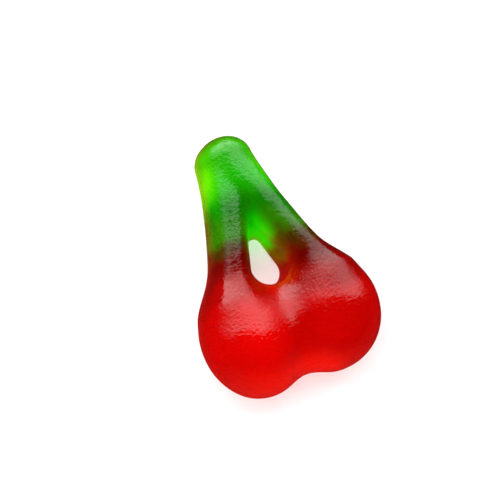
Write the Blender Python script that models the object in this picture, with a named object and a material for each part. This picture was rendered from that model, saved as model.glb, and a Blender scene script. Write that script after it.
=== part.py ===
"""A moulded gummy sweet in the shape of twin cherries: two round cherries side by side, whose two stems
lean together and end in one blunt tip, with an egg-shaped hole between the stems. It is one solid piece
with a domed front and a level back, and it lies on its back. X runs across the two cherries, Y from the
cherries to the tip, and Z up through the thickness. Sizes are millimetres until the mesh is made."""

import bpy
import numpy as np

MM = 0.001

# Driving dimensions. Y is counted from the lowest point of the cherries.
CHERRY_OUT = 5.7
CHERRY_ALONG = 9.35
CHERRY_RADIUS = 7.9
CHERRY_WAIST = 2.4
CHERRY_RISE = 9.8
CHERRY_LEAN = 0.07
CHERRY_SPREAD = 0.2
CHERRY_BLEND = 3.9

FOOT_Y = 15.0
MIDDLE_Y = 26.3
TIP_Y = 35.7
STEM_OUT = (7.65, 3.3, 0.5)
STEM_RADIUS = (3.15, 2.9, 3.55)
STEM_RISE = (7.1, 6.4, 5.6)
STEM_WAIST = 2.8
STEM_SQUARE = 2.6
STEM_BLEND = 0.95
FOOT_BLEND = 2.5

WEB_HOLE_Y = 23.0
WEB_TOP_Y = 33.0
WEB_HOLE_HEIGHT = 3.0
WEB_TOP_HEIGHT = 5.4
WEB_BLEND = 0.9

HOLE_Y = 17.95
HOLE_RADIUS = 2.2
HOLE_TOP_Y = 22.35
HOLE_TOP_RADIUS = 1.0
HOLE_DRAFT = 0.04
HOLE_BLEND = 0.8

WALL_REACH = 11.0
BACK_ROUND = 1.1

# The mesh: sections fan out from the middle of the hole, each with its points from edge to edge of the back.
HUB_Y = 19.5
SECTIONS = 128
FRONT_POINTS = 36
EDGE_POINTS = 3
SECTION_POINTS = FRONT_POINTS + 2 * EDGE_POINTS
RING_CLEARANCE = 2.5
FAR = 60.0

# Colours along Y, as a share of the length: two red cherries, brown where the colours meet, green stems.
COLOURS = (
    (0.0, (0.72, 0.006, 0.004, 1.0)),
    (0.42, (0.60, 0.003, 0.002, 1.0)),
    (0.56, (0.13, 0.012, 0.002, 1.0)),
    (0.68, (0.03, 0.30, 0.004, 1.0)),
    (1.0, (0.05, 0.42, 0.01, 1.0)),
)
ROUGHNESS = 0.18


def smooth_union(a, b, blend):
    """The nearer of two surfaces, with the crease between them filled over a width of blend."""
    share = np.clip(0.5 + 0.5 * (b - a) / blend, 0.0, 1.0)
    return b * (1 - share) + a * share - blend * share * (1 - share)


def smooth_cut(body, cutter, blend):
    """The body less the cutter, with the cut's edge rounded over a width of blend."""
    return -smooth_union(-body, cutter, blend)


def smooth_step(value, start, end):
    t = np.clip((value - start) / (end - start), 0.0, 1.0)
    return t * t * (3 - 2 * t)


def height_share(z, waist, rise):
    """1 at the crown and 0 at the waist, and growing only slowly below it, where the mould's wall is steep."""
    return np.where(z > waist, (z - waist) / rise, (waist - z) / WALL_REACH)


def cherry(x, y, z):
    """One cherry, whose crown leans away from the stems and from the other cherry."""
    raised = np.maximum(z - CHERRY_WAIST, 0.0)
    across = (x - CHERRY_SPREAD * raised - CHERRY_OUT) / CHERRY_RADIUS
    along = (y + CHERRY_LEAN * raised - CHERRY_ALONG) / CHERRY_ALONG
    up = height_share(z, CHERRY_WAIST, CHERRY_RISE)
    return (np.sqrt(across**2 + along**2 + up**2) - 1) * CHERRY_RADIUS


def along_stem(y, values):
    """The parabola through three values at the stem's foot, middle and tip, level past both ends."""
    t = np.clip(y, FOOT_Y, TIP_Y)
    foot = (t - MIDDLE_Y) * (t - TIP_Y) / ((FOOT_Y - MIDDLE_Y) * (FOOT_Y - TIP_Y))
    middle = (t - FOOT_Y) * (t - TIP_Y) / ((MIDDLE_Y - FOOT_Y) * (MIDDLE_Y - TIP_Y))
    tip = (t - FOOT_Y) * (t - MIDDLE_Y) / ((TIP_Y - FOOT_Y) * (TIP_Y - MIDDLE_Y))
    return foot * values[0] + middle * values[1] + tip * values[2]


def stem(x, y, z):
    """One leaning stem with a level-bottomed, slightly square oval section and round ends."""
    lean = np.cos(np.arctan2(STEM_OUT[0] - STEM_OUT[2], TIP_Y - FOOT_Y))
    radius = along_stem(y, STEM_RADIUS)
    aside = (x - along_stem(y, STEM_OUT)) * lean
    past_end = y - np.clip(y, FOOT_Y, TIP_Y)
    out = np.hypot(aside, past_end) / radius
    up = height_share(z, STEM_WAIST, along_stem(y, STEM_RISE))
    return ((out**STEM_SQUARE + up**STEM_SQUARE) ** (1 / STEM_SQUARE) - 1) * radius


def web(x, y, z):
    """The thin floor between the stems, which climbs from the hole to where the stems have joined."""
    climb = smooth_step(y, WEB_HOLE_Y, WEB_TOP_Y)
    top = WEB_HOLE_HEIGHT + (WEB_TOP_HEIGHT - WEB_HOLE_HEIGHT) * climb
    past_end = np.maximum(CHERRY_ALONG - y, y - TIP_Y)
    return np.maximum(np.maximum(np.abs(x) - along_stem(y, STEM_OUT), z - top), past_end)


def hole(x, y, z):
    """An egg with its small end towards the tip, a little wider at the front, as a mould's peg leaves it."""
    span = HOLE_TOP_Y - HOLE_Y
    slope = (HOLE_RADIUS - HOLE_TOP_RADIUS) / span
    grip = np.sqrt(1 - slope**2)
    aside = np.abs(x)
    above = y - HOLE_Y
    reach = above * grip - aside * slope
    low = np.hypot(aside, above) - HOLE_RADIUS
    high = np.hypot(aside, above - span) - HOLE_TOP_RADIUS
    flank = aside * grip + above * slope - HOLE_RADIUS
    egg = np.where(reach < 0, low, np.where(reach > span * grip, high, flank))
    return egg - HOLE_DRAFT * z


def uncut_body(x, y, z):
    """The sweet before its back is levelled: negative inside, and about the distance near the surface."""
    cherries = smooth_union(cherry(x, y, z), cherry(-x, y, z), CHERRY_BLEND)
    stems = smooth_union(stem(x, y, z), stem(-x, y, z), STEM_BLEND)
    top = smooth_union(stems, web(x, y, z), WEB_BLEND)
    return smooth_cut(smooth_union(cherries, top, FOOT_BLEND), hole(x, y, z), HOLE_BLEND)


def sweet(x, y, z):
    """The body with a level back at z = 0, whose edge is rounded."""
    side = uncut_body(x, y, z) + BACK_ROUND
    under = BACK_ROUND - z
    corner = np.hypot(np.maximum(side, 0.0), np.maximum(under, 0.0))
    return corner - BACK_ROUND + np.minimum(np.maximum(side, under), 0.0)


def surface_along(start, end, field):
    """The share of the way from start, inside the field, to end, outside it, at which each line leaves it."""
    low = np.zeros(len(start))
    high = np.ones(len(start))
    for _ in range(40):
        share = (low + high) / 2
        point = start + (end - start) * share[:, None]
        inside = field(*point.T) < 0
        low = np.where(inside, share, low)
        high = np.where(inside, high, share)
    return low


def fan_point(turn, reach, z):
    """The point at a distance from the hub, in the fan's direction given by turn."""
    return np.stack([reach * np.cos(turn), HUB_Y + reach * np.sin(turn), z + 0 * reach], axis=-1)


def section_ends(turn, z, field):
    """How far from the hub each section of the fan starts and ends, at one height."""
    hub = fan_point(turn, 0 * turn, z)
    far = fan_point(turn, 0 * turn + FAR, z)
    clear = surface_along(hub, far, lambda x, y, z: hole(x, y, z) - RING_CLEARANCE) * FAR
    ring = fan_point(turn, clear, z)
    inner_edge = clear * (1 - surface_along(ring, hub, field))
    outer_edge = clear + (FAR - clear) * surface_along(ring, far, field)
    return inner_edge, outer_edge


def even_turns():
    """Turns of the fan that space its sections evenly along the outer edge of the sweet."""
    fine = np.linspace(-np.pi / 2, 1.5 * np.pi, 1441)
    _, outer = section_ends(fine, CHERRY_WAIST, uncut_body)
    edge = fan_point(fine, outer, 0.0)
    length = np.concatenate([[0.0], np.cumsum(np.linalg.norm(np.diff(edge, axis=0), axis=1))])
    return np.interp(np.arange(SECTIONS) / SECTIONS * length[-1], length, fine)


def edge_row(turn, z, at_start):
    """One row of points round the back's edge: on the hole's side at a section's start, else outside."""
    if z == 0.0:
        inner, outer = section_ends(turn, z, lambda x, y, z: uncut_body(x, y, z) + BACK_ROUND)
    else:
        inner, outer = section_ends(turn, z, sweet)
    return fan_point(turn, inner if at_start else outer, z)


def front_rows(turn):
    """Rows of points over the front, on rays that leave the middle of each section in a half ellipse."""
    inner, outer = section_ends(turn, BACK_ROUND, sweet)
    middle = (inner + outer) / 2
    half = (outer - inner) / 2
    centre = fan_point(turn, middle, BACK_ROUND)
    above = fan_point(turn, middle, BACK_ROUND + FAR)
    rise = surface_along(centre, above, sweet) * FAR
    for step in range(FRONT_POINTS):
        angle = np.pi * (1 - step / (FRONT_POINTS - 1))
        stretch = middle / half if angle > np.pi / 2 else FAR / half
        away = fan_point(turn, middle + half * np.cos(angle) * stretch, BACK_ROUND)
        away[:, 2] += rise * np.sin(angle) * stretch
        share = surface_along(centre, away, sweet)
        yield centre + (away - centre) * share[:, None]


def section_points():
    """The mesh's points, section by section, each from the hole's edge of the back over to the outer edge."""
    turn = even_turns()
    heights = [BACK_ROUND * (1 - np.sin(bend)) for bend in np.linspace(np.pi / 2, 0, EDGE_POINTS + 1)[:-1]]
    rows = [edge_row(turn, z, True) for z in heights]
    rows += front_rows(turn)
    rows += [edge_row(turn, z, False) for z in reversed(heights)]
    return np.stack(rows, axis=1)


def sweet_mesh():
    """A closed mesh of four-sided faces round the hole, centred on the origin and resting on z = 0."""
    points = section_points().reshape(-1, 3)
    points[:, 1] -= (points[:, 1].min() + points[:, 1].max()) / 2
    faces = []
    for section in range(SECTIONS):
        here = section * SECTION_POINTS
        there = (section + 1) % SECTIONS * SECTION_POINTS
        for step in range(SECTION_POINTS):
            after = (step + 1) % SECTION_POINTS
            faces.append((here + step, here + after, there + after, there + step))
    mesh = bpy.data.meshes.new("gummy_cherry")
    mesh.from_pydata((points * MM).tolist(), [], faces)
    mesh.shade_smooth()
    mesh.set_sharp_from_angle(angle=np.radians(50))
    return mesh


def gel_material(length):
    """Glossy gelatine, red at the cherries and green from the middle of the stems to the tip."""
    material = bpy.data.materials.new("gel")
    material.use_nodes = True
    nodes = material.node_tree.nodes
    links = material.node_tree.links
    shader = nodes["Principled BSDF"]
    shader.inputs["Roughness"].default_value = ROUGHNESS
    shader.inputs["Metallic"].default_value = 0.0
    place = nodes.new("ShaderNodeTexCoord")
    split = nodes.new("ShaderNodeSeparateXYZ")
    share = nodes.new("ShaderNodeMapRange")
    share.inputs["From Min"].default_value = -length / 2
    share.inputs["From Max"].default_value = length / 2
    ramp = nodes.new("ShaderNodeValToRGB")
    while len(ramp.color_ramp.elements) < len(COLOURS):
        ramp.color_ramp.elements.new(0.5)
    for element, (position, colour) in zip(ramp.color_ramp.elements, COLOURS):
        element.position = position
        element.color = colour
    links.new(place.outputs["Object"], split.inputs["Vector"])
    links.new(split.outputs["Y"], share.inputs["Value"])
    links.new(share.outputs["Result"], ramp.inputs["Fac"])
    links.new(ramp.outputs["Color"], shader.inputs["Base Color"])
    return material


def build():
    for old in list(bpy.data.objects):
        bpy.data.objects.remove(old, do_unlink=True)
    mesh = sweet_mesh()
    sweet_object = bpy.data.objects.new("gummy_cherry", mesh)
    bpy.context.scene.collection.objects.link(sweet_object)
    mesh.materials.append(gel_material(sweet_object.dimensions.y))


build()
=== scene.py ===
"""The finished look of one gummy cherry sweet on a pale floor, seen from above its domed face. The
sweet's surface is the formula of its solid at a finer mesh, with a pebbled skin that Geometry Nodes
raise, and its gelatine runs from red cherries through brown to green stems. Sizes are millimetres in
the formula and metres in the scene."""

import bpy
import numpy as np
from mathutils import Matrix, Vector


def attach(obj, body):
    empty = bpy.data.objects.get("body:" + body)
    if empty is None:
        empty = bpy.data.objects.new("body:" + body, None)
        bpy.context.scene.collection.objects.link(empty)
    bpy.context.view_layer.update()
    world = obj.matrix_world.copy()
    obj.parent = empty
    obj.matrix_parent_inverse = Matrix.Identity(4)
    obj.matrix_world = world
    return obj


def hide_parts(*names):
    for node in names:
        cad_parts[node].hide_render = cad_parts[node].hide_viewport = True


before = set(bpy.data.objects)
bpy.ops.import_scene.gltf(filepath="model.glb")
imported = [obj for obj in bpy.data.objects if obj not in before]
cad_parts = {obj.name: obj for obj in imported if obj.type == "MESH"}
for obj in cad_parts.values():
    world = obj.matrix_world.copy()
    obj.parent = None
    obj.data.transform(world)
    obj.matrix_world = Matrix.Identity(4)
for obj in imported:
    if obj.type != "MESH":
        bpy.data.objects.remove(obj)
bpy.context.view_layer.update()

MM = 0.001

# Driving dimensions. Y is counted from the lowest point of the cherries.
CHERRY_OUT = 5.7
CHERRY_ALONG = 9.35
CHERRY_RADIUS = 7.9
CHERRY_WAIST = 2.4
CHERRY_RISE = 9.8
CHERRY_LEAN = 0.07
CHERRY_SPREAD = 0.2
CHERRY_BLEND = 3.9

FOOT_Y = 15.0
MIDDLE_Y = 26.3
TIP_Y = 35.7
STEM_OUT = (7.65, 3.3, 0.5)
STEM_RADIUS = (3.15, 2.9, 3.55)
STEM_RISE = (7.1, 6.4, 5.6)
STEM_WAIST = 2.8
STEM_SQUARE = 2.6
STEM_BLEND = 0.95
FOOT_BLEND = 2.5

WEB_HOLE_Y = 23.0
WEB_TOP_Y = 33.0
WEB_HOLE_HEIGHT = 3.0
WEB_TOP_HEIGHT = 5.4
WEB_BLEND = 0.9

HOLE_Y = 17.95
HOLE_RADIUS = 2.2
HOLE_TOP_Y = 22.35
HOLE_TOP_RADIUS = 1.0
HOLE_DRAFT = 0.04
HOLE_BLEND = 0.8

WALL_REACH = 11.0
BACK_ROUND = 1.1

# The mesh: sections fan out from the middle of the hole, each with its points from edge to edge of the back.
HUB_Y = 19.5
SECTIONS = 400
FRONT_POINTS = 190
EDGE_POINTS = 8
SECTION_POINTS = FRONT_POINTS + 2 * EDGE_POINTS
RING_CLEARANCE = 2.5
FAR = 60.0


def smooth_union(a, b, blend):
    """The nearer of two surfaces, with the crease between them filled over a width of blend."""
    share = np.clip(0.5 + 0.5 * (b - a) / blend, 0.0, 1.0)
    return b * (1 - share) + a * share - blend * share * (1 - share)


def smooth_cut(body, cutter, blend):
    """The body less the cutter, with the cut's edge rounded over a width of blend."""
    return -smooth_union(-body, cutter, blend)


def smooth_step(value, start, end):
    t = np.clip((value - start) / (end - start), 0.0, 1.0)
    return t * t * (3 - 2 * t)


def height_share(z, waist, rise):
    """1 at the crown and 0 at the waist, and growing only slowly below it, where the mould's wall is steep."""
    return np.where(z > waist, (z - waist) / rise, (waist - z) / WALL_REACH)


def cherry(x, y, z):
    """One cherry, whose crown leans away from the stems and from the other cherry."""
    raised = np.maximum(z - CHERRY_WAIST, 0.0)
    across = (x - CHERRY_SPREAD * raised - CHERRY_OUT) / CHERRY_RADIUS
    along = (y + CHERRY_LEAN * raised - CHERRY_ALONG) / CHERRY_ALONG
    up = height_share(z, CHERRY_WAIST, CHERRY_RISE)
    return (np.sqrt(across**2 + along**2 + up**2) - 1) * CHERRY_RADIUS


def along_stem(y, values):
    """The parabola through three values at the stem's foot, middle and tip, level past both ends."""
    t = np.clip(y, FOOT_Y, TIP_Y)
    foot = (t - MIDDLE_Y) * (t - TIP_Y) / ((FOOT_Y - MIDDLE_Y) * (FOOT_Y - TIP_Y))
    middle = (t - FOOT_Y) * (t - TIP_Y) / ((MIDDLE_Y - FOOT_Y) * (MIDDLE_Y - TIP_Y))
    tip = (t - FOOT_Y) * (t - MIDDLE_Y) / ((TIP_Y - FOOT_Y) * (TIP_Y - MIDDLE_Y))
    return foot * values[0] + middle * values[1] + tip * values[2]


def stem(x, y, z):
    """One leaning stem with a level-bottomed, slightly square oval section and round ends."""
    lean = np.cos(np.arctan2(STEM_OUT[0] - STEM_OUT[2], TIP_Y - FOOT_Y))
    radius = along_stem(y, STEM_RADIUS)
    aside = (x - along_stem(y, STEM_OUT)) * lean
    past_end = y - np.clip(y, FOOT_Y, TIP_Y)
    out = np.hypot(aside, past_end) / radius
    up = height_share(z, STEM_WAIST, along_stem(y, STEM_RISE))
    return ((out**STEM_SQUARE + up**STEM_SQUARE) ** (1 / STEM_SQUARE) - 1) * radius


def web(x, y, z):
    """The thin floor between the stems, which climbs from the hole to where the stems have joined."""
    climb = smooth_step(y, WEB_HOLE_Y, WEB_TOP_Y)
    top = WEB_HOLE_HEIGHT + (WEB_TOP_HEIGHT - WEB_HOLE_HEIGHT) * climb
    past_end = np.maximum(CHERRY_ALONG - y, y - TIP_Y)
    return np.maximum(np.maximum(np.abs(x) - along_stem(y, STEM_OUT), z - top), past_end)


def hole(x, y, z):
    """An egg with its small end towards the tip, a little wider at the front, as a mould's peg leaves it."""
    span = HOLE_TOP_Y - HOLE_Y
    slope = (HOLE_RADIUS - HOLE_TOP_RADIUS) / span
    grip = np.sqrt(1 - slope**2)
    aside = np.abs(x)
    above = y - HOLE_Y
    reach = above * grip - aside * slope
    low = np.hypot(aside, above) - HOLE_RADIUS
    high = np.hypot(aside, above - span) - HOLE_TOP_RADIUS
    flank = aside * grip + above * slope - HOLE_RADIUS
    egg = np.where(reach < 0, low, np.where(reach > span * grip, high, flank))
    return egg - HOLE_DRAFT * z


def uncut_body(x, y, z):
    """The sweet before its back is levelled: negative inside, and about the distance near the surface."""
    cherries = smooth_union(cherry(x, y, z), cherry(-x, y, z), CHERRY_BLEND)
    stems = smooth_union(stem(x, y, z), stem(-x, y, z), STEM_BLEND)
    top = smooth_union(stems, web(x, y, z), WEB_BLEND)
    return smooth_cut(smooth_union(cherries, top, FOOT_BLEND), hole(x, y, z), HOLE_BLEND)


def sweet(x, y, z):
    """The body with a level back at z = 0, whose edge is rounded."""
    side = uncut_body(x, y, z) + BACK_ROUND
    under = BACK_ROUND - z
    corner = np.hypot(np.maximum(side, 0.0), np.maximum(under, 0.0))
    return corner - BACK_ROUND + np.minimum(np.maximum(side, under), 0.0)


def surface_along(start, end, field):
    """The share of the way from start, inside the field, to end, outside it, at which each line leaves it."""
    low = np.zeros(len(start))
    high = np.ones(len(start))
    for _ in range(40):
        share = (low + high) / 2
        point = start + (end - start) * share[:, None]
        inside = field(*point.T) < 0
        low = np.where(inside, share, low)
        high = np.where(inside, high, share)
    return low


def fan_point(turn, reach, z):
    """The point at a distance from the hub, in the fan's direction given by turn."""
    return np.stack([reach * np.cos(turn), HUB_Y + reach * np.sin(turn), z + 0 * reach], axis=-1)


def section_ends(turn, z, field):
    """How far from the hub each section of the fan starts and ends, at one height."""
    hub = fan_point(turn, 0 * turn, z)
    far = fan_point(turn, 0 * turn + FAR, z)
    clear = surface_along(hub, far, lambda x, y, z: hole(x, y, z) - RING_CLEARANCE) * FAR
    ring = fan_point(turn, clear, z)
    inner_edge = clear * (1 - surface_along(ring, hub, field))
    outer_edge = clear + (FAR - clear) * surface_along(ring, far, field)
    return inner_edge, outer_edge


def even_turns():
    """Turns of the fan that space its sections evenly along the outer edge of the sweet."""
    fine = np.linspace(-np.pi / 2, 1.5 * np.pi, 1441)
    _, outer = section_ends(fine, CHERRY_WAIST, uncut_body)
    edge = fan_point(fine, outer, 0.0)
    length = np.concatenate([[0.0], np.cumsum(np.linalg.norm(np.diff(edge, axis=0), axis=1))])
    return np.interp(np.arange(SECTIONS) / SECTIONS * length[-1], length, fine)


def edge_row(turn, z, at_start):
    """One row of points round the back's edge: on the hole's side at a section's start, else outside."""
    if z == 0.0:
        inner, outer = section_ends(turn, z, lambda x, y, z: uncut_body(x, y, z) + BACK_ROUND)
    else:
        inner, outer = section_ends(turn, z, sweet)
    return fan_point(turn, inner if at_start else outer, z)


def front_rows(turn):
    """Rows of points over the front, on rays that leave the middle of each section in a half ellipse."""
    inner, outer = section_ends(turn, BACK_ROUND, sweet)
    middle = (inner + outer) / 2
    half = (outer - inner) / 2
    centre = fan_point(turn, middle, BACK_ROUND)
    above = fan_point(turn, middle, BACK_ROUND + FAR)
    rise = surface_along(centre, above, sweet) * FAR
    for step in range(FRONT_POINTS):
        angle = np.pi * (1 - step / (FRONT_POINTS - 1))
        stretch = middle / half if angle > np.pi / 2 else FAR / half
        away = fan_point(turn, middle + half * np.cos(angle) * stretch, BACK_ROUND)
        away[:, 2] += rise * np.sin(angle) * stretch
        share = surface_along(centre, away, sweet)
        yield centre + (away - centre) * share[:, None]


def section_points():
    """The mesh's points, section by section, each from the hole's edge of the back over to the outer edge."""
    turn = even_turns()
    heights = [BACK_ROUND * (1 - np.sin(bend)) for bend in np.linspace(np.pi / 2, 0, EDGE_POINTS + 1)[:-1]]
    rows = [edge_row(turn, z, True) for z in heights]
    rows += front_rows(turn)
    rows += [edge_row(turn, z, False) for z in reversed(heights)]
    return np.stack(rows, axis=1)


def sweet_mesh():
    """A closed mesh of four-sided faces round the hole, centred on the origin and resting on z = 0."""
    points = section_points().reshape(-1, 3)
    points[:, 1] -= (points[:, 1].min() + points[:, 1].max()) / 2
    faces = []
    for section in range(SECTIONS):
        here = section * SECTION_POINTS
        there = (section + 1) % SECTIONS * SECTION_POINTS
        for step in range(SECTION_POINTS):
            after = (step + 1) % SECTION_POINTS
            faces.append((here + step, here + after, there + after, there + step))
    mesh = bpy.data.meshes.new("gummy_cherry")
    mesh.from_pydata((points * MM).tolist(), [], faces)
    mesh.shade_smooth()
    mesh.set_sharp_from_angle(angle=np.radians(50))
    return mesh


# The look, in metres and in the sweet's own frame: X across, Y to the tip, Z out of the face.
LENGTH = 0.040
AIM = (-0.00233, 0.00393, 0.004)
VIEW_TILT = (-0.23, -0.12)
IMAGE_UP = (0.3746, 0.9272, 0.0)
CAMERA_DISTANCE = 0.409
LENS = 204.0
FLOOR_SIZE = 3.0
LIGHT_DISTANCE = 0.7
CARD_SIZE = (0.9, 0.5)

GRAIN_DEPTH = 0.00003
GRAIN_SIZE = 0.0007
WAVE_DEPTH = 0.00025
WAVE_SIZE = 0.007
BACK_HEIGHT = 0.0006
SKIN_SEED = 4.0

SCATTER_LENGTH = 0.006
SHADOW_CLEARNESS = 0.85
PEBBLE_SCALE = 2500.0
CREASE_SCALE = 1250.0
CREASE_SQUEEZE = (1.0, 1.6, 1.0)
CREASE_SEED = 3.0
BUMP_DEPTH = 0.00009


def add(tree, kind, values=None, **settings):
    """A node of one kind, with its settings, and with a value or a link for each named or numbered input."""
    node = tree.nodes.new(kind)
    for name, setting in settings.items():
        setattr(node, name, setting)
    for key, value in (values or {}).items():
        if isinstance(value, bpy.types.NodeSocket):
            tree.links.new(value, node.inputs[key])
        else:
            node.inputs[key].default_value = value
    return node


def maths(tree, operation, first, second=0.0, third=0.0):
    node = add(tree, "ShaderNodeMath", {0: first, 1: second, 2: third}, operation=operation)
    return node.outputs[0]


def remap(tree, value, low, high, to_low=0.0, to_high=1.0):
    sockets = {"Value": value, "From Min": low, "From Max": high, "To Min": to_low, "To Max": to_high}
    return add(tree, "ShaderNodeMapRange", sockets, interpolation_type="SMOOTHSTEP").outputs["Result"]


def noise(tree, place, scale, detail=2.0, roughness=0.5, seed=0.0):
    sockets = {"Vector": place, "W": seed, "Scale": scale, "Detail": detail, "Roughness": roughness}
    return add(tree, "ShaderNodeTexNoise", sockets, noise_dimensions="4D").outputs[0]


def skin_tree(material):
    """Raises the pebbled skin and the slow waves of cast gelatine, but not on the level back."""
    tree = bpy.data.node_groups.new("gel_skin", "GeometryNodeTree")
    tree.is_modifier = True
    tree.interface.new_socket("Geometry", in_out="INPUT", socket_type="NodeSocketGeometry")
    for name in ("Grain Depth", "Grain Size", "Wave Depth", "Wave Size", "Back Height", "Seed"):
        tree.interface.new_socket(name, in_out="INPUT", socket_type="NodeSocketFloat")
    tree.interface.new_socket("Geometry", in_out="OUTPUT", socket_type="NodeSocketGeometry")
    given = tree.nodes.new("NodeGroupInput")
    result = tree.nodes.new("NodeGroupOutput")
    place = add(tree, "GeometryNodeInputPosition").outputs[0]
    normal = add(tree, "GeometryNodeInputNormal").outputs[0]
    grain_scale = maths(tree, "DIVIDE", 1.0, given.outputs["Grain Size"])
    grain = noise(tree, place, grain_scale, 2.0, 0.6, given.outputs["Seed"])
    grain = maths(tree, "MULTIPLY", maths(tree, "SUBTRACT", grain, 0.5), given.outputs["Grain Depth"])
    wave_scale = maths(tree, "DIVIDE", 1.0, given.outputs["Wave Size"])
    wave = noise(tree, place, wave_scale, 1.0, 0.5, given.outputs["Seed"])
    wave = maths(tree, "MULTIPLY", maths(tree, "SUBTRACT", wave, 0.5), given.outputs["Wave Depth"])
    height = add(tree, "ShaderNodeSeparateXYZ", {0: place}).outputs["Z"]
    off_back = remap(tree, height, 0.0, given.outputs["Back Height"])
    raised = maths(tree, "MULTIPLY", maths(tree, "ADD", grain, wave), off_back)
    offset = add(tree, "ShaderNodeVectorMath", {0: normal, 3: raised}, operation="SCALE").outputs[0]
    skin = add(tree, "GeometryNodeSetPosition", {"Geometry": given.outputs[0], "Offset": offset}).outputs[0]
    whole = add(tree, "GeometryNodeRealizeInstances", {0: skin}).outputs[0]
    painted = add(tree, "GeometryNodeSetMaterial", {"Geometry": whole, "Material": material}).outputs[0]
    tree.links.new(painted, result.inputs[0])
    return tree


def with_skin(mesh, material):
    """The sweet's mesh after the skin's nodes, as a plain mesh."""
    tree = skin_tree(material)
    rough = bpy.data.objects.new("gummy_rough", mesh)
    bpy.context.scene.collection.objects.link(rough)
    modifier = rough.modifiers.new("gel_skin", "NODES")
    modifier.node_group = tree
    values = {"Grain Depth": GRAIN_DEPTH, "Grain Size": GRAIN_SIZE, "Wave Depth": WAVE_DEPTH,
              "Wave Size": WAVE_SIZE, "Back Height": BACK_HEIGHT, "Seed": SKIN_SEED}
    for item in tree.interface.items_tree:
        if item.name in values:
            modifier[item.identifier] = values[item.name]
    evaluated = rough.evaluated_get(bpy.context.evaluated_depsgraph_get())
    finished = bpy.data.meshes.new_from_object(evaluated)
    bpy.data.objects.remove(rough, do_unlink=True)
    return finished


# Gelatine colours by the distance in millimetres from the cherries' lowest point: in its deep places, then the
# brighter colours of a painted glow, where it is thin, along the cherries' lower rim and where light comes
# through.
DEEP_COLOURS = (
    (0.0, (0.78, 0.006, 0.002, 1.0)),
    (5.0, (0.64, 0.001, 0.0005, 1.0)),
    (11.0, (0.53, 0.001, 0.0005, 1.0)),
    (15.0, (0.33, 0.001, 0.0005, 1.0)),
    (19.8, (0.13, 0.001, 0.0003, 1.0)),
    (21.9, (0.060, 0.028, 0.0005, 1.0)),
    (24.3, (0.026, 0.180, 0.0005, 1.0)),
    (27.5, (0.005, 0.170, 0.0005, 1.0)),
    (33.0, (0.008, 0.390, 0.0005, 1.0)),
    (36.5, (0.020, 0.330, 0.001, 1.0)),
    (40.0, (0.040, 0.150, 0.001, 1.0)),
)
PAINTED_GLOW_COLOURS = (
    (0.0, (1.00, 0.008, 0.003, 1.0)),
    (11.0, (0.98, 0.002, 0.001, 1.0)),
    (16.5, (0.60, 0.002, 0.001, 1.0)),
    (19.0, (0.40, 0.006, 0.001, 1.0)),
    (21.2, (0.22, 0.130, 0.001, 1.0)),
    (23.5, (0.065, 0.860, 0.001, 1.0)),
    (27.0, (0.004, 0.700, 0.001, 1.0)),
    (33.0, (0.170, 0.760, 0.001, 1.0)),
    (37.0, (0.060, 0.440, 0.001, 1.0)),
    (40.0, (0.050, 0.190, 0.001, 1.0)),
)
DRIFT_SCALE = 160.0
DRIFT_LENGTH = 0.005
COLOUR_SLANT = 0.14
LIT_THROUGH = (-0.75, -0.30, -0.25)

# How one look gives way to another: where that starts, where it ends, and its share at the start and end.
LIT_FACING = (0.10, 0.80, 0.0, 1.0)
LIT_ALONG = (0.006, 0.013, 0.0, 0.9)
WEB_HEIGHT = (0.0050, 0.0092, 1.0, 0.0)
WEB_ACROSS = (0.0036, 0.0060, 1.0, 0.0)
RIM_HEIGHT = (0.0010, 0.0050, 1.0, 0.0)
RIM_ALONG = (-0.003, 0.003, 1.0, 0.0)
RIM_ACROSS = (-0.0135, -0.0050, 0.0, 1.0)
# Painted light on the left cherry and painted shade on the right one and at the left side, as light falls on
# them.
PAINTED_SHADING_LEFT_TO_RIGHT = (-0.0050, 0.0020, 1.10, 0.88)
PAINTED_SHADING_AT_LEFT_SIDE = (-0.0130, -0.0060, 0.72, 1.0)
PAINTED_SHADING_ALONG = (-0.003, 0.001, 1.0, 0.0)

# The room's brightness, in the same way, by how far right, up and high a direction points.
SILL_BY_RIGHT = (-0.23, 0.70, 0.37, 0.08)
ABOVE_SILL = (-0.02, 0.02, 0.0, 1.0)
ABOVE_HORIZON = (-0.02, 0.04, 0.0, 1.0)
WINDOW_LEFT_SIDE = (-0.95, -0.45, 0.0, 1.0)
WINDOW_RIGHT_SIDE = (0.75, 1.02, 1.0, 0.0)
SHINE_BY_RIGHT = (-0.6, 0.6, 1.5, 1.9)
SHINE_BY_UP = (0.68, 0.82, 0.0, 1.5)
TABLE_BY_UP = (-0.6, 0.0, 0.03, 0.006)
TABLE_BY_HEIGHT = (-0.05, 0.10, 1.0, 0.0)
ROOM_DIM = 0.003
UNDER_BY_HEIGHT = (-0.98, -0.80, 0.35, 0.0)
UNDER_RED = (1.0, 0.02, 0.01, 1.0)


def colour_ramp(tree, share, stops):
    """A colour ramp with a smooth run of colours through all its stops."""
    ramp = add(tree, "ShaderNodeValToRGB", {0: share})
    ramp.color_ramp.interpolation = "EASE"
    while len(ramp.color_ramp.elements) < len(stops):
        ramp.color_ramp.elements.new(0.5)
    for element, (position, colour) in zip(ramp.color_ramp.elements, stops):
        element.position = position / (LENGTH / MM)
        element.color = colour
    return ramp.outputs["Color"]


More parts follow.
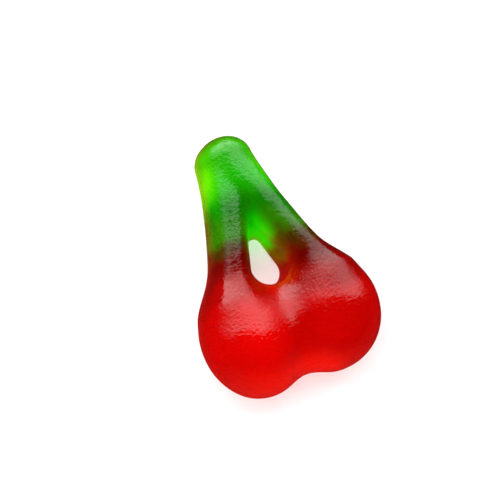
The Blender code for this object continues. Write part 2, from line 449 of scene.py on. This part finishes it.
def painted_glow_share(tree, across, along, height):
    """1 in the web, along the cherries' lower rim and where light comes through the tip's left side: a painted
    glow, as of light passing through the gel, which in the thin web is partly its own paler colour.
    """
    normal = add(tree, "ShaderNodeTexCoord").outputs["Normal"]
    facing = add(tree, "ShaderNodeVectorMath", {0: normal, 1: LIT_THROUGH}, operation="DOT_PRODUCT")
    # Painted light: the tip's side that faces away from the light is made brighter, as if light came through
    # it.
    lit = remap(tree, facing.outputs["Value"], *LIT_FACING)
    lit = maths(tree, "MULTIPLY", lit, remap(tree, along, *LIT_ALONG))
    # Painted glow in the web, partly the thin gel's own paler colour and partly light shining through it.
    middle = remap(tree, maths(tree, "ABSOLUTE", across), *WEB_ACROSS)
    web_glow = maths(tree, "MULTIPLY", remap(tree, height, *WEB_HEIGHT), middle)
    # Painted glow along the cherries' lower rim, lighter there than the gel's own red.
    rim_glow = maths(tree, "MULTIPLY", remap(tree, height, *RIM_HEIGHT), remap(tree, along, *RIM_ALONG))
    rim_glow = maths(tree, "MULTIPLY", rim_glow, remap(tree, across, *RIM_ACROSS))
    return maths(tree, "MAXIMUM", maths(tree, "MAXIMUM", lit, web_glow), rim_glow)


def painted_cherry_shading(tree, across, along):
    """Painted light and shade: a little above 1 on the left cherry and below 1 on the right one and at the left
    side, else 1.
    """
    painted_shading = remap(tree, across, *PAINTED_SHADING_LEFT_TO_RIGHT)
    painted_shading = maths(tree, "MULTIPLY", painted_shading, remap(tree, across, *PAINTED_SHADING_AT_LEFT_SIDE))
    off_one = maths(tree, "SUBTRACT", painted_shading, 1.0)
    return maths(tree, "MULTIPLY_ADD", off_one, remap(tree, along, *PAINTED_SHADING_ALONG), 1.0)


def gel_colour(tree, place):
    """Red, brown and green along the sweet, with a painted glow where it is thin or lit through and along the
    cherries' lower rim, and painted light and shade on the cherries.
    """
    split = add(tree, "ShaderNodeSeparateXYZ", {0: place})
    across, along, height = split.outputs["X"], split.outputs["Y"], split.outputs["Z"]
    drift = maths(tree, "SUBTRACT", noise(tree, place, DRIFT_SCALE), 0.5)
    along = maths(tree, "ADD", along, maths(tree, "MULTIPLY", drift, DRIFT_LENGTH))
    along = maths(tree, "MULTIPLY_ADD", across, COLOUR_SLANT, along)
    share = maths(tree, "MULTIPLY_ADD", along, 1 / LENGTH, 0.5)
    deep = colour_ramp(tree, share, DEEP_COLOURS)
    glow_colour = colour_ramp(tree, share, PAINTED_GLOW_COLOURS)
    # The painted glow mixes in the brighter colours.
    painted_glow = painted_glow_share(tree, across, along, height)
    mix = add(tree, "ShaderNodeMix", {"Factor": painted_glow, 6: deep, 7: glow_colour}, data_type="RGBA").outputs[2]
    # Painted light and shade scale the colour on the cherries.
    painted_shading = painted_cherry_shading(tree, across, along)
    return add(tree, "ShaderNodeVectorMath", {0: mix, "Scale": painted_shading}, operation="SCALE").outputs[0]


def gel_bump(tree, place):
    """Fine pebbles and short creases across the sweet, too small for the mesh."""
    squeezed = add(tree, "ShaderNodeVectorMath", {0: place, 1: CREASE_SQUEEZE}, operation="MULTIPLY").outputs[0]
    pebbles = noise(tree, place, PEBBLE_SCALE, 1.0)
    creases = noise(tree, squeezed, CREASE_SCALE, seed=CREASE_SEED)
    height = maths(tree, "MULTIPLY_ADD", pebbles, 0.9, creases)
    return add(tree, "ShaderNodeBump", {"Height": height, "Strength": 1.0, "Distance": BUMP_DEPTH}).outputs[0]


def gel_material():
    """Glossy gelatine that scatters light inside and lets most of it through into its shadow."""
    material = bpy.data.materials.new("gel")
    material.use_nodes = True
    tree = material.node_tree
    shader = tree.nodes["Principled BSDF"]
    place = add(tree, "ShaderNodeTexCoord").outputs["Object"]
    tree.links.new(gel_colour(tree, place), shader.inputs["Base Color"])
    tree.links.new(gel_bump(tree, place), shader.inputs["Normal"])
    shadow_ray = add(tree, "ShaderNodeLightPath").outputs["Is Shadow Ray"]
    solid = maths(tree, "MULTIPLY_ADD", shadow_ray, -SHADOW_CLEARNESS, 1.0)
    tree.links.new(solid, shader.inputs["Alpha"])
    shader.inputs["Roughness"].default_value = 0.08
    shader.inputs["IOR"].default_value = 1.44
    shader.inputs["Subsurface Weight"].default_value = 1.0
    shader.inputs["Subsurface Radius"].default_value = (1.0, 0.8, 0.6)
    shader.inputs["Subsurface Scale"].default_value = SCATTER_LENGTH
    shader.inputs["Coat Weight"].default_value = 0.25
    shader.inputs["Coat Roughness"].default_value = 0.05
    shader.inputs["Coat IOR"].default_value = 1.5
    return material


def sweet_piece():
    """The whole sweet, standing for its plain solid."""
    mesh = with_skin(sweet_mesh(), gel_material())
    piece = bpy.data.objects.new("gummy_cherry_gel", mesh)
    bpy.context.scene.collection.objects.link(piece)
    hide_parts("gummy_cherry")
    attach(piece, "root")
    return piece


def floor():
    """A broad white sheet under the sweet."""
    material = bpy.data.materials.new("white_sheet")
    material.use_nodes = True
    tree = material.node_tree
    shader = tree.nodes["Principled BSDF"]
    place = add(tree, "ShaderNodeTexCoord").outputs["Object"]
    fleck = remap(tree, noise(tree, place, 400.0), 0.3, 0.7, 0.93, 0.97)
    colour = add(tree, "ShaderNodeCombineColor", {0: fleck, 1: fleck, 2: fleck}).outputs[0]
    tree.links.new(colour, shader.inputs["Base Color"])
    shader.inputs["Roughness"].default_value = 0.9
    bpy.ops.mesh.primitive_plane_add(size=FLOOR_SIZE, location=(0.0, 0.0, 0.0))
    sheet = bpy.context.object
    sheet.name = "floor"
    sheet.data.materials.append(material)
    sheet.visible_glossy = False


def card(name, direction, strength):
    """A broad card that fills the shadows and doesn't show in the gloss."""
    light = bpy.data.lights.new(name, "AREA")
    light.shape = "RECTANGLE"
    light.size, light.size_y = CARD_SIZE
    light.energy = strength * CARD_SIZE[0] * CARD_SIZE[1] * np.pi
    lamp = bpy.data.objects.new(name, light)
    towards = Vector(direction).normalized()
    lamp.location = towards * LIGHT_DISTANCE
    lamp.rotation_euler = towards.to_track_quat("Z", "Y").to_euler()
    lamp.visible_glossy = False
    bpy.context.scene.collection.objects.link(lamp)


def lights():
    """Cards from above and from three sides, which only fill."""
    card("over_card", (-0.5, 0.3, 0.8), 2.3)
    card("left_card", (-0.9, -0.1, 0.42), 1.2)
    card("low_card", (-0.3, -0.9, 0.42), 1.4)
    card("right_card", (0.9, -0.3, 0.42), 1.3)
    bpy.context.scene.view_settings.view_transform = "Standard"


def backdrop():
    """A dark room with one broad window past the tip, lower at its right side and brightest near the horizon.
    Straight down it is red, as the sheet close under the sweet's rim is."""
    world = bpy.data.worlds.new("studio")
    bpy.context.scene.world = world
    world.use_nodes = True
    tree = world.node_tree
    direction = add(tree, "ShaderNodeTexCoord").outputs["Generated"]
    split = add(tree, "ShaderNodeSeparateXYZ", {0: direction})
    right, up, height = split.outputs["X"], split.outputs["Y"], split.outputs["Z"]
    above = maths(tree, "SUBTRACT", up, remap(tree, right, *SILL_BY_RIGHT))
    inside = maths(tree, "MULTIPLY", remap(tree, above, *ABOVE_SILL), remap(tree, height, *ABOVE_HORIZON))
    left_side = remap(tree, right, *WINDOW_LEFT_SIDE)
    sides = maths(tree, "MULTIPLY", left_side, remap(tree, right, *WINDOW_RIGHT_SIDE))
    shine = maths(tree, "ADD", remap(tree, right, *SHINE_BY_RIGHT), remap(tree, up, *SHINE_BY_UP))
    window = maths(tree, "MULTIPLY", maths(tree, "MULTIPLY", inside, sides), shine)
    table = remap(tree, up, *TABLE_BY_UP)
    dim = maths(tree, "MULTIPLY_ADD", remap(tree, height, *TABLE_BY_HEIGHT), table, ROOM_DIM)
    background = tree.nodes["Background"]
    background.inputs["Color"].default_value = (1.0, 1.0, 1.0, 1.0)
    tree.links.new(maths(tree, "ADD", window, dim), background.inputs["Strength"])
    glow = remap(tree, height, *UNDER_BY_HEIGHT)
    under = add(tree, "ShaderNodeBackground", {"Color": UNDER_RED, "Strength": glow})
    both = add(tree, "ShaderNodeAddShader", {0: background.outputs[0], 1: under.outputs[0]})
    tree.links.new(both.outputs[0], tree.nodes["World Output"].inputs["Surface"])


def camera():
    """A long lens that looks down on the sweet's face, rolled so that the tip leans to the upper left."""
    data = bpy.data.cameras.new("camera")
    data.lens = LENS
    data.clip_end = 10.0
    view = bpy.data.objects.new("camera", data)
    back = Vector((VIEW_TILT[0], VIEW_TILT[1], 1.0)).normalized()
    up = Vector(IMAGE_UP)
    right = up.cross(back).normalized()
    up = back.cross(right)
    turn = Matrix((right, up, back)).transposed().to_4x4()
    turn.translation = Vector(AIM) + back * CAMERA_DISTANCE
    view.matrix_world = turn
    bpy.context.scene.collection.objects.link(view)
    bpy.context.scene.camera = view


sweet_piece()
floor()
lights()
backdrop()
camera()
